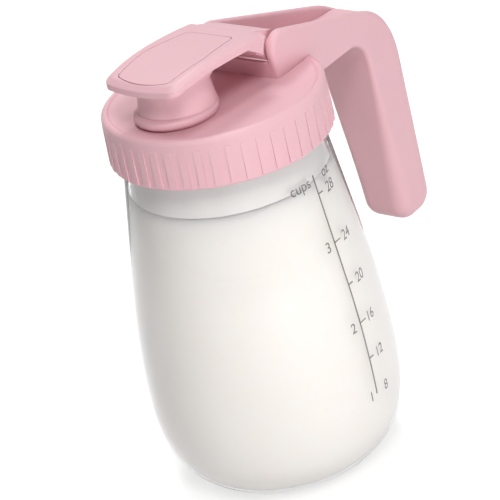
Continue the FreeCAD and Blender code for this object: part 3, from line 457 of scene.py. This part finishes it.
def finish_piece(mesh: bmesh.types.BMesh, name: str, material: bpy.types.Material, body: Body,
                 sharp: float = 35.0) -> bpy.types.Object:
    """Turn a bmesh in millimetres into a piece that rides on a body.

    Args:
        mesh: the bmesh; it is freed.
        name: the piece's name.
        material: its material.
        body: the body that it rides on.
        sharp: edges that turn by more than this many degrees stay sharp.

    Returns:
        The new object.
    """
    bmesh.ops.scale(mesh, vec=(MM, MM, MM), verts=mesh.verts)
    data = bpy.data.meshes.new(name)
    mesh.to_mesh(data)
    mesh.free()
    data.materials.append(material)
    data.shade_smooth()
    data.set_sharp_from_angle(angle=radians(sharp))
    piece = bpy.data.objects.new(name, data)
    bpy.context.scene.collection.objects.link(piece)
    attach(piece, body.value)
    return piece


def dress(node: str, material: bpy.types.Material) -> bpy.types.Object:
    """Give a carried-over CAD node its finished material.

    Args:
        node: the CAD node's name.
        material: the material for all its faces.

    Returns:
        The node's object.
    """
    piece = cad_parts[node]
    for slot in piece.material_slots:
        slot.material = material
    return piece


@dataclass
class ScrewThread:
    """A right-hand thread of several starts, as ridges on a cylinder that run out at both their ends."""

    root: float
    crest: float
    low: float
    lead: float = 12.0
    starts: int = 3
    sweep: float = 118.0
    root_width: float = 2.0
    crest_width: float = 1.0
    run_out: float = 14.0
    thinnest: float = 0.02
    steps: int = 48
    crease: float = 50.0

    def run_out_ends(self, part: bmesh.types.BMesh) -> None:
        """Sink a ridge that starts at +X into its cylinder towards both its ends.

        Args:
            part: the ridge, in millimetres.
        """
        for vert in part.verts:
            flat = vert.co.xy
            turn = max(-degrees(Vector((1.0, 0.0)).angle_signed(flat, 0.0)), 0.0)
            share = min(turn, self.sweep - turn) / self.run_out
            radius = self.root + (flat.length - self.root) * min(max(share, self.thinnest), 1.0)
            vert.co.xy = flat.normalized() * radius

    def build(self, name: str, material: bpy.types.Material, body: Body, slot: Slot) -> bpy.types.Object:
        """Build the ridges as one piece.

        Args:
            name: the piece's name.
            material: its material.
            body: the body that it rides on.
            slot: not used.

        Returns:
            The piece.
        """
        mesh = bmesh.new()
        step = self.lead * self.sweep / 360 / self.steps
        for start in range(self.starts):
            part = bmesh.new()
            pen = Pen(part, self.root, self.low - self.root_width / 2)
            pen.line(self.crest, self.low - self.crest_width / 2)
            pen.line(self.crest, self.low + self.crest_width / 2)
            pen.line(self.root, self.low + self.root_width / 2)
            part.edges.new((pen.tip, pen.drawn[0]))
            bmesh.ops.spin(part, geom=part.verts[:] + part.edges[:], cent=(0, 0, 0), axis=(0, 0, 1),
                           angle=radians(self.sweep), steps=self.steps, dvec=(0, 0, step),
                           use_merge=False, use_duplicate=False)
            bmesh.ops.holes_fill(part, edges=[edge for edge in part.edges if edge.is_boundary], sides=4)
            self.run_out_ends(part)
            bmesh.ops.rotate(part, verts=part.verts, cent=(0, 0, 0),
                             matrix=Matrix.Rotation(2 * pi * start / self.starts, 3, "Z"))
            carried = bpy.data.meshes.new(name)
            part.to_mesh(carried)
            part.free()
            mesh.from_mesh(carried)
            bpy.data.meshes.remove(carried)
        bmesh.ops.recalc_face_normals(mesh, faces=mesh.faces)
        return finish_piece(mesh, name, material, body, self.crease)


# ----------------------------------------------------------------------------
# Jar
# ----------------------------------------------------------------------------


@dataclass
class GlassJar:
    """The round-bellied jar, the formula in it and the scale printed on it."""

    finishes: Finishes
    belly_radius: float = 52.04
    belly_height: float = 38.9
    foot_radius: float = 22.7
    heel_angle: float = 76.0
    shoulder_rise: float = 52.6
    neck_base_radius: float = 40.0
    neck_base_height: float = 146.8
    neck_radius: float = 38.2
    neck_step: float = 1.8
    neck_round: float = 2.5
    height: float = 162.0
    wall: float = 2.8
    floor: float = 4.0
    lip_round: float = 1.25
    level: float = 131.5
    meniscus: float = 0.4
    meniscus_reach: float = 1.6
    wetting: float = 0.2
    film_gap: float = 0.02
    film_thickness: float = 0.06
    film_top: float = 146.6
    thread_crest: float = 40.0
    thread_low: float = 151.2
    thread_sink: float = 0.15
    around: int = 192
    heel_steps: int = 24
    inner_heel_steps: int = 20
    flank_steps: int = 6
    shoulder_steps: int = 14
    crease: float = 60.0

    @property
    def heel_radius(self) -> float:
        """Radius of the arc that rises from the foot."""
        lean = radians(self.heel_angle)
        reach = (self.belly_radius - self.foot_radius) * cos(lean) - self.belly_height * (1 - sin(lean))
        return reach / (sin(lean) + cos(lean) - 1)

    @property
    def flank_radius(self) -> float:
        """Radius of the arc that ends upright at the belly."""
        lean = radians(self.heel_angle)
        return (self.belly_height - self.heel_radius * (1 - cos(lean))) / cos(lean)

    @property
    def shoulder_lean(self) -> float:
        """Angle in degrees by which the straight shoulder leans in."""
        fall = self.belly_radius - self.neck_base_radius
        rise = 2 * (self.neck_base_height - self.belly_height) - self.shoulder_rise
        return 2 * degrees(atan(fall / rise))

    @property
    def shoulder_radius(self) -> float:
        """Radius of the shoulder's arc."""
        return self.shoulder_rise / sin(radians(self.shoulder_lean))

    def radius_at(self, height: float) -> float:
        """Work out the outer radius.

        Args:
            height: a height above the heel arc.

        Returns:
            The jar's outer radius there.
        """
        above = height - self.belly_height
        arc = self.flank_radius if above < 0 else self.shoulder_radius
        if above <= self.shoulder_rise:
            return self.belly_radius - arc + sqrt(arc ** 2 - above ** 2)
        start = self.belly_radius - arc + sqrt(arc ** 2 - self.shoulder_rise ** 2)
        return start - (above - self.shoulder_rise) * tan(radians(self.shoulder_lean))

    def flank(self, pen: Pen, inset: float, top: float) -> None:
        """Draw the flank and the shoulder from the heel arc's end.

        Args:
            pen: the pen, at the heel arc's end.
            inset: how far the wire lies inside the jar's outside.
            top: the height that it ends at.
        """
        flank_centre = (self.belly_radius - self.flank_radius, self.belly_height)
        shoulder_centre = (self.belly_radius - self.shoulder_radius, self.belly_height)
        pen.arc(flank_centre, 90 - self.heel_angle, self.flank_steps)
        pen.arc(shoulder_centre, self.shoulder_lean, self.shoulder_steps)
        pen.line(self.radius_at(top) - inset / cos(radians(self.shoulder_lean)), top)

    def inner_start(self, inset: float) -> tuple[float, float]:
        """Find where the jar's floor meets the inner heel arc.

        Args:
            inset: how far the arc lies inside the jar's outside.

        Returns:
            The radius of that place, and the arc's turn from there to the flank in degrees.
        """
        reach = self.heel_radius - inset
        drop = self.heel_radius - self.floor
        across = sqrt(reach ** 2 - drop ** 2)
        start = degrees(atan(across / drop))
        return self.foot_radius + across, self.heel_angle - start

    def build_glass(self) -> bpy.types.Object:
        """Build the glass: outside, rounded lip and inside as one closed wall.

        Returns:
            The piece.
        """
        mesh = bmesh.new()
        outside = Pen(mesh, 0.0, 0.0).line(self.foot_radius, 0.0)
        outside.arc((self.foot_radius, self.heel_radius), self.heel_angle, self.heel_steps)
        self.flank(outside, 0.0, self.neck_base_height)
        outside.line(self.neck_radius, self.neck_base_height + self.neck_step, self.neck_round)
        outside.line(self.neck_radius, self.height, self.lip_round)
        outside.line(self.neck_radius - self.wall, self.height, self.lip_round)
        outside.line(self.neck_radius - self.wall, self.neck_base_height + self.neck_step)
        lip = outside.tip
        across, turn = self.inner_start(self.wall)
        inside = Pen(mesh, 0.0, self.floor).line(across, self.floor)
        inside.arc((self.foot_radius, self.heel_radius), turn, self.inner_heel_steps)
        self.flank(inside, self.wall, self.neck_base_height)
        mesh.edges.new((inside.tip, lip))
        outside.round_corners(6)
        turn_solid(mesh, self.around)
        piece = finish_piece(mesh, "jar_glass", self.finishes.glass, Body.JAR, self.crease)
        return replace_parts(piece, "glass_jar")

    def build_formula(self) -> bpy.types.Object:
        """Build the formula: it wets the glass and climbs a little where it meets the wall.

        Returns:
            The piece.
        """
        mesh = bmesh.new()
        wet, bottom = self.wall - self.wetting, self.floor - self.wetting
        across, turn = self.inner_start(wet)
        pen = Pen(mesh, 0.0, bottom).line(across, bottom)
        pen.arc((self.foot_radius, self.heel_radius), turn, self.inner_heel_steps)
        self.flank(pen, wet, self.level + self.meniscus)
        edge = self.radius_at(self.level) - wet
        pen.line(edge - self.meniscus_reach * self.meniscus, self.level, self.meniscus)
        pen.line(0.0, self.level)
        pen.round_corners()
        turn_solid(mesh, self.around)
        return finish_piece(mesh, "formula_fill", self.finishes.formula, Body.JAR, self.crease)

    def build_film(self) -> bpy.types.Object:
        """Build the film that clings to the glass above the formula, as a thin closed sleeve.

        Returns:
            The piece.
        """
        mesh = bmesh.new()
        low, high = self.level + self.meniscus, self.film_top
        gap = self.wall + self.film_gap
        lean = cos(radians(self.shoulder_lean))
        pen = Pen(mesh, self.radius_at(low) - gap / lean, low)
        pen.line(self.radius_at(high) - gap / lean, high)
        pen.line(self.radius_at(high) - (gap + self.film_thickness) / lean, high)
        pen.line(self.radius_at(low) - (gap + self.film_thickness) / lean, low)
        mesh.edges.new((pen.tip, pen.drawn[0]))
        turn_solid(mesh, self.around)
        return finish_piece(mesh, "formula_film", self.finishes.film, Body.JAR, self.crease)

    def build_thread(self) -> bpy.types.Object:
        """Build the neck's thread, rooted a little inside the glass."""
        thread = ScrewThread(self.neck_radius - self.thread_sink, self.thread_crest, self.thread_low)
        return thread.build("jar_thread", self.finishes.glass, Body.JAR, Slot.GLASS)

    def build(self) -> list[bpy.types.Object]:
        """Build the jar's pieces."""
        return [self.build_glass(), self.build_thread(), self.build_formula(), self.build_film(),
                *PrintedScale(self, self.finishes).build()]


# In Blender's own typeface, a figure's height and its step to the next as shares of the type size.
FIGURE_SHARE = 0.729
FIGURE_STEP = 0.58


@dataclass
class PrintedScale:
    """The volume scale: a thin line, with ounces and ticks on its right and cups on its left."""

    jar: GlassJar
    finishes: Finishes
    azimuth: float = -87.4
    line_width: float = 0.72
    line_low: float = 39.1
    line_high: float = 135.7
    tick_width: float = 0.6
    tick: float = 2.9
    cup_tick: float = 4.0
    figure_height: float = 4.5
    figure_width: float = 3.45
    left_edge: float = -3.0
    right_edge: float = 5.9
    word_shift: float = 0.4
    end_gap: float = 1.0
    long_bar: float = 10.0
    bend_cuts: int = 64
    film: float = 0.03
    ounces: tuple[tuple[str, float], ...] = (
        ("8", 39.5), ("12", 55.3), ("16", 71.4), ("20", 88.4), ("24", 106.8), ("28", 127.7))
    cups: tuple[tuple[str, float], ...] = (("1", 39.6), ("2", 71.4), ("3", 106.8))
    words_base: float = 132.0

    def wrap(self, mesh: bmesh.types.BMesh) -> None:
        """Bend flat artwork round the jar's outside.

        Args:
            mesh: the artwork, drawn in X and Z from the scale's line.
        """
        for vert in mesh.verts:
            height = vert.co.z
            radius = self.jar.radius_at(height) + vert.co.y
            turn = radians(self.azimuth) + vert.co.x / self.jar.radius_at(height)
            vert.co = (radius * cos(turn), radius * sin(turn), height)

    def bar(self, mesh: bmesh.types.BMesh, left: float, right: float, low: float, high: float) -> None:
        """Draw a bar as a thin block. A long upright one is cut into short lengths, so that it can bend.

        Args:
            mesh: the mesh that gets the bar.
            left: its left side, from the scale's line.
            right: its right side.
            low: height of its lower end.
            high: height of its upper end.
        """
        made = bmesh.ops.create_cube(mesh, size=1.0)["verts"]
        bmesh.ops.scale(mesh, vec=(right - left, self.film, high - low), verts=made)
        bmesh.ops.translate(mesh, vec=((left + right) / 2, 0.0, (low + high) / 2), verts=made)
        upright = {edge for vert in made for edge in vert.link_edges
                   if abs(edge.verts[0].co.z - edge.verts[1].co.z) > self.long_bar}
        if upright:
            bmesh.ops.subdivide_edges(mesh, edges=list(upright), cuts=self.bend_cuts)

    def write(self, mesh: bmesh.types.BMesh, words: str, base: float, left: float | None = None,
              right: float | None = None) -> None:
        """Write figures or a word as a thin film, set against one of its ends.

        Args:
            mesh: the mesh that gets the figures.
            words: what to write.
            base: height of the base line.
            left: where the writing starts, from the scale's line, if it is set against its start.
            right: where the writing ends, if it is set against its end.
        """
        curve = bpy.data.curves.new("figures", "FONT")
        curve.body, curve.size, curve.extrude = words, 1.0, 0.5
        text = bpy.data.objects.new("figures", curve)
        data = bpy.data.meshes.new_from_object(text)
        bpy.data.objects.remove(text)
        bpy.data.curves.remove(curve)
        part = bmesh.new()
        part.from_mesh(data)
        tall = self.figure_height / FIGURE_SHARE
        wide = self.figure_width / FIGURE_STEP
        bmesh.ops.rotate(part, verts=part.verts, cent=(0, 0, 0), matrix=Matrix.Rotation(pi / 2, 3, "X"))
        bmesh.ops.scale(part, vec=(wide, self.film, tall), verts=part.verts)
        across = [vert.co.x for vert in part.verts]
        shift = left - min(across) if left is not None else right - max(across)
        bmesh.ops.translate(part, vec=(shift, 0.0, base), verts=part.verts)
        part.to_mesh(data)
        part.free()
        mesh.from_mesh(data)
        bpy.data.meshes.remove(data)

    def build(self) -> list[bpy.types.Object]:
        """Build the scale as one piece. A mark at the line's lower end has no tick.

        Returns:
            The piece, in a list.
        """
        mesh = bmesh.new()
        self.bar(mesh, -self.line_width / 2, self.line_width / 2, self.line_low, self.line_high)
        cup_heights = {height for _, height in self.cups}
        for words, height in self.ounces:
            reach = self.cup_tick if height in cup_heights else self.tick
            if height > self.line_low + self.end_gap:
                self.bar(mesh, 0.0, reach, height - self.tick_width / 2, height + self.tick_width / 2)
            self.write(mesh, words, height - self.figure_height / 2, left=self.right_edge)
        for words, height in self.cups:
            self.write(mesh, words, height - self.figure_height / 2, right=self.left_edge)
        self.write(mesh, "oz", self.words_base, left=self.right_edge)
        self.write(mesh, "cups", self.words_base, right=self.left_edge + self.word_shift)
        self.wrap(mesh)
        bmesh.ops.recalc_face_normals(mesh, faces=mesh.faces)
        return [finish_piece(mesh, "volume_scale_print", self.finishes.ink, Body.JAR)]


# ----------------------------------------------------------------------------
# Lid
# ----------------------------------------------------------------------------


@dataclass
class ScrewLid:
    """The moulded lid with its ribbed collar and pouring spout, its thread, and the gasket under it."""

    finishes: Finishes
    thread_root: float = 42.0
    thread_crest: float = 39.0
    thread_low: float = 149.2

    def build_thread(self) -> bpy.types.Object:
        """Build the collar's thread, half a pitch below the neck's ridges."""
        thread = ScrewThread(self.thread_root, self.thread_crest, self.thread_low)
        return thread.build("lid_thread", self.finishes.pink, Body.LID, Slot.PLASTIC)

    def build(self) -> list[bpy.types.Object]:
        """Build the lid's pieces."""
        return [dress("lid_shell", self.finishes.pink), self.build_thread(),
                dress("lid_gasket", self.finishes.silicone)]


# ----------------------------------------------------------------------------
# Handle and lever
# ----------------------------------------------------------------------------


@dataclass
class ForkHandle:
    """The fork handle and the floor piece between its arms."""

    finishes: Finishes

    def build(self) -> list[bpy.types.Object]:
        """Dress the handle's pieces."""
        return [dress(node, self.finishes.pink) for node in ("handle_shell", "handle_insert")]


@dataclass
class FlipLever:
    """The flip lever, its snap-in panel and the soft plug."""

    finishes: Finishes

    def build(self) -> list[bpy.types.Object]:
        """Dress the lever's pieces."""
        pieces = [dress(node, self.finishes.pink) for node in ("flip_lever", "lever_panel")]
        return [*pieces, dress("spout_plug", self.finishes.silicone)]


# ----------------------------------------------------------------------------
# Studio
# ----------------------------------------------------------------------------


@dataclass(frozen=True)
class SoftBox:
    """A square studio lamp that faces the object.

    Its azimuth is in degrees from +X, its distance, height and size in metres and its power in watts. Glass
    never shows it, and a glossy surface shows it only where it is mirrored.
    """

    name: str
    azimuth: float
    distance: float
    height: float
    size: float
    power: float
    mirrored: bool = True

    def build(self, aim: Vector) -> None:
        """Add the lamp.

        Args:
            aim: the point that it faces, in metres.
        """
        lamp = bpy.data.lights.new(self.name, "AREA")
        lamp.size, lamp.energy = self.size, self.power
        holder = bpy.data.objects.new(self.name, lamp)
        turn = radians(self.azimuth)
        holder.location = (aim.x + self.distance * cos(turn), aim.y + self.distance * sin(turn), self.height)
        holder.rotation_euler = (aim - holder.location).to_track_quat("-Z", "Y").to_euler()
        holder.visible_glossy = self.mirrored
        holder.visible_transmission = False
        bpy.context.scene.collection.objects.link(holder)


@dataclass
class Studio:
    """White paper, soft lamps and the camera. Its place is in millimetres and its angles are in degrees."""

    finishes: Finishes
    camera_place: tuple[float, float, float] = (-598.4, -600.1, 517.8)
    camera_azimuth: float = 45.0
    camera_drop: float = 26.447
    camera_roll: float = -12.464
    lens: float = 169.7
    sensor: float = 36.0
    sight: float = 50.0
    floor_reach: float = 6.0
    aim: tuple[float, float, float] = (0.02, 0.0, 0.1)
    lamps: tuple[SoftBox, ...] = (
        SoftBox("front_softbox", 230, 0.81, 1.13, 0.4, 6.7),
        SoftBox("back_softbox", 45, 0.65, 1.23, 0.4, 6.0),
        SoftBox("overhead_softbox", 225, 0.15, 1.4, 0.4, 4.3),
        SoftBox("side_softbox", 265, 1.3, 0.19, 0.5, 1.4, mirrored=False),
        SoftBox("low_front_strip", 242, 0.6, 0.06, 0.25, 1.65, mirrored=False),
        SoftBox("low_right_strip", 305, 0.6, 0.06, 0.3, 1.1, mirrored=False),
        SoftBox("low_left_strip", 185, 0.6, 0.02, 0.2, 0.65, mirrored=False),
        SoftBox("rear_softbox", 78, 1.0, 0.4, 0.5, 2.0, mirrored=False),
    )
    room: float = 0.06
    mirrored_room: float = 0.8

    def build_floor(self) -> None:
        """Lay the paper as a wide flat floor."""
        mesh = bmesh.new()
        bmesh.ops.create_grid(mesh, x_segments=2, y_segments=2, size=self.floor_reach)
        data = bpy.data.meshes.new("studio_floor")
        mesh.to_mesh(data)
        mesh.free()
        data.materials.append(self.finishes.paper)
        floor = bpy.data.objects.new("studio_floor", data)
        bpy.context.scene.collection.objects.link(floor)

    def build_world(self) -> None:
        """Fill the room with faint even light, which is white to the eye and pale in mirrors and glass."""
        world = bpy.data.worlds.new("studio")
        bpy.context.scene.world = world
        world.use_nodes = True
        tree = world.node_tree
        tree.nodes.clear()
        path = add(tree, "ShaderNodeLightPath")
        bent = add(tree, "ShaderNodeMath", {"operation": "MAXIMUM"},
                   i0=path.outputs["Is Glossy Ray"], i1=path.outputs["Is Transmission Ray"])
        soft = add(tree, "ShaderNodeMapRange", None, Value=bent.outputs[0],
                   i3=self.room, i4=self.mirrored_room)
        strength = add(tree, "ShaderNodeMath", {"operation": "MAXIMUM"},
                       i0=soft.outputs[0], i1=path.outputs["Is Camera Ray"])
        room = add(tree, "ShaderNodeBackground", None, Color=(1, 1, 1, 1), Strength=strength.outputs[0])
        output = add(tree, "ShaderNodeOutputWorld")
        tree.links.new(room.outputs[0], output.inputs["Surface"])

    def build_camera(self) -> None:
        """Set the camera: a long lens, held a little tilted."""
        lens = bpy.data.cameras.new("camera")
        lens.lens, lens.sensor_width = self.lens, self.sensor
        lens.clip_end = self.sight
        holder = bpy.data.objects.new("camera", lens)
        drop, azimuth = radians(self.camera_drop), radians(self.camera_azimuth)
        ahead = Vector((cos(drop) * cos(azimuth), cos(drop) * sin(azimuth), -sin(drop)))
        level = ahead.to_track_quat("-Z", "Y")
        holder.rotation_euler = (level @ Quaternion((0, 0, 1), radians(self.camera_roll))).to_euler()
        holder.location = Vector(self.camera_place) * MM
        bpy.context.scene.collection.objects.link(holder)
        bpy.context.scene.camera = holder

    def build(self) -> list[bpy.types.Object]:
        """Build the studio.

        Returns:
            An empty list, because none of it is a piece.
        """
        self.build_floor()
        self.build_world()
        self.build_camera()
        for lamp in self.lamps:
            lamp.build(Vector(self.aim))
        bpy.context.scene.view_settings.view_transform = "Standard"
        return []


def main() -> None:
    """Build the pitcher and the studio."""
    logging.basicConfig(level=logging.INFO, format="%(message)s")
    finishes = Finishes()
    for part in (GlassJar(finishes), ScrewLid(finishes), ForkHandle(finishes), FlipLever(finishes),
                 Studio(finishes)):
        for piece in part.build():
            LOG.info("%s: %s, %d faces", type(part).__name__, piece.name, len(piece.data.polygons))


if __name__ == "__main__":
    main()
